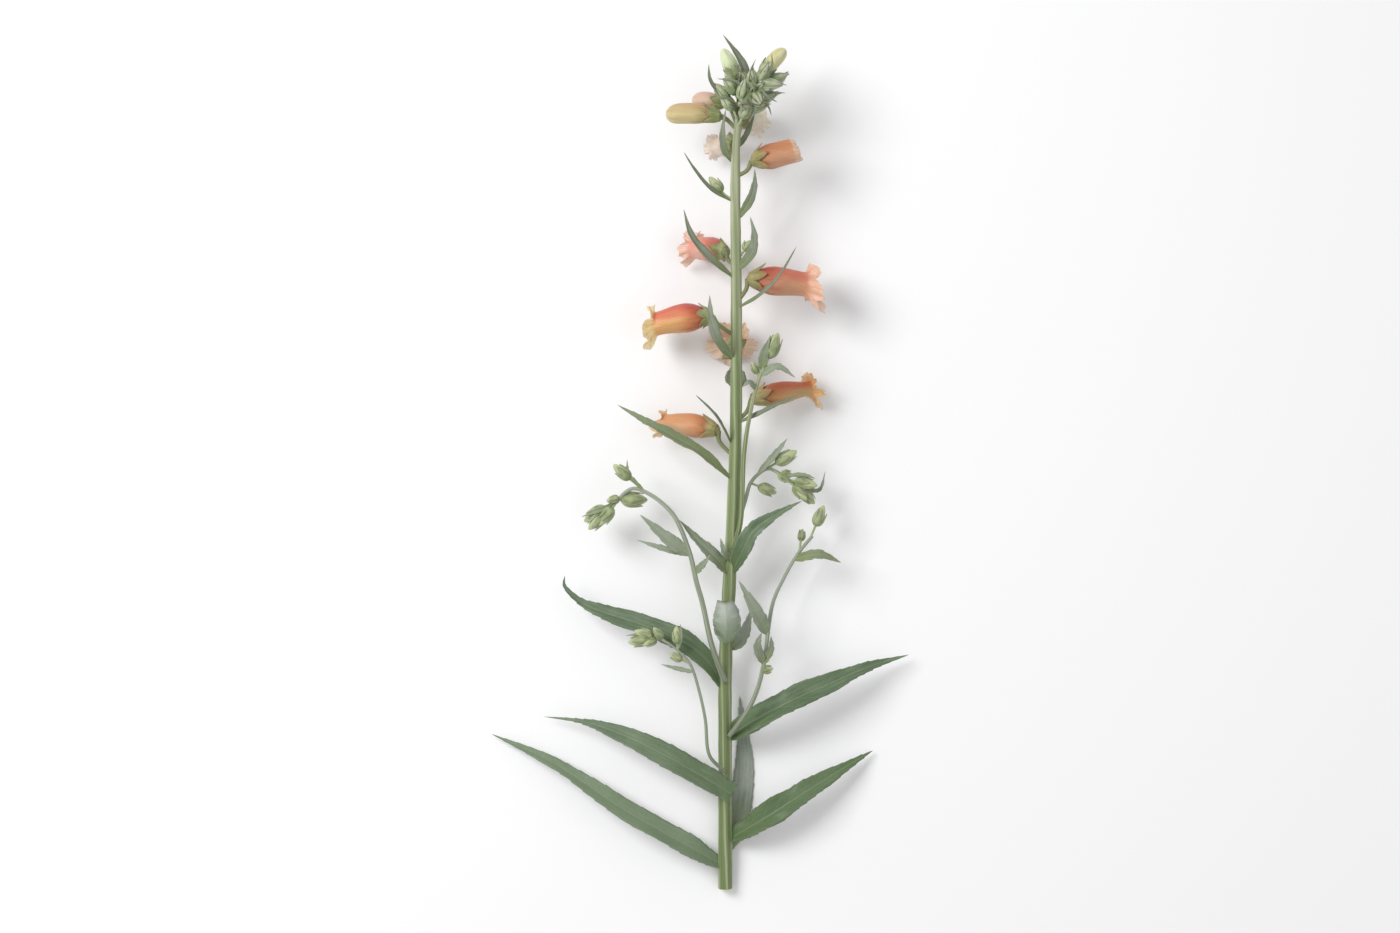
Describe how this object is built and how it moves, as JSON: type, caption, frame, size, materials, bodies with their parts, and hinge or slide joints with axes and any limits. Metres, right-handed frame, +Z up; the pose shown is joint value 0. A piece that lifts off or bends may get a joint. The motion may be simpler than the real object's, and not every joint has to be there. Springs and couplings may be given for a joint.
{
  "type": "foxglove flower spike",
  "caption": "Cut flower spike lying on its back: a leafy upright stem with tubular peach and orange blooms, closed buds, bracts and budded side shoots.",
  "frame": {"origin": "bottom centre of the part's box, on the surface that the spike lies on", "axes": "+Y up the stem from the cut end to the tip, +Z up from the surface towards someone looking down on the spike, +X to the right of that view"},
  "size_m": [0.1756, 0.3554, 0.0474],
  "materials": {
    "stem": "satin",
    "leaf": "satin",
    "silver_leaf": "matte",
    "pale_leaf": "satin",
    "calyx": "satin",
    "shoot": "satin",
    "peach_petal": "satin",
    "orange_petal": "satin",
    "pale_petal": "satin",
    "yellow_petal": "satin",
    "salmon_petal": "satin",
    "pink_petal": "satin",
    "cream_petal": "satin",
    "yellow_bud": "satin",
    "pink_bud": "satin",
    "green_bud": "satin",
    "stamens": "satin"
  },
  "bodies": {
    "root": {"stem": "stem", "leaf_1": "leaf", "leaf_2": "leaf", "leaf_3": "silver_leaf", "leaf_4": "leaf", "leaf_5": "leaf", "leaf_6": "leaf", "leaf_7": "silver_leaf", "leaf_8": "leaf", "leaf_9": "leaf", "leaf_10": "pale_leaf", "leaf_11": "silver_leaf", "leaf_12": "pale_leaf", "bloom_1_calyx": "calyx", "bloom_1_petals": "peach_petal", "bloom_1_stamens": "stamens", "bloom_2_calyx": "calyx", "bloom_2_petals": "orange_petal", "bloom_2_stamens": "stamens", "bloom_3_calyx": "calyx", "bloom_3_petals": "pale_petal", "bloom_3_stamens": "stamens", "bloom_4_calyx": "calyx", "bloom_4_petals": "yellow_petal", "bloom_4_stamens": "stamens", "bloom_5_calyx": "calyx", "bloom_5_petals": "salmon_petal", "bloom_5_stamens": "stamens", "bloom_6_calyx": "calyx", "bloom_6_petals": "pink_petal", "bloom_6_stamens": "stamens", "bloom_7_calyx": "calyx", "bloom_7_petals": "peach_petal", "bloom_7_stamens": "stamens", "bloom_8_calyx": "calyx", "bloom_8_petals": "cream_petal", "bloom_8_stamens": "stamens", "bloom_9_calyx": "calyx", "bloom_9_petals": "cream_petal", "bloom_9_stamens": "stamens", "bud_1_calyx": "calyx", "bud_1_petals": "yellow_bud", "bud_2_calyx": "calyx", "bud_2_petals": "pink_bud", "bud_3_calyx": "calyx", "bud_3_petals": "green_bud", "bud_4_calyx": "calyx", "bud_4_petals": "green_bud", "shoot_left_1": "shoot", "shoot_left_2": "shoot", "shoot_right_1": "shoot", "shoot_right_2": "shoot", "shoot_right_3": "shoot"}
  },
  "joints": []
}
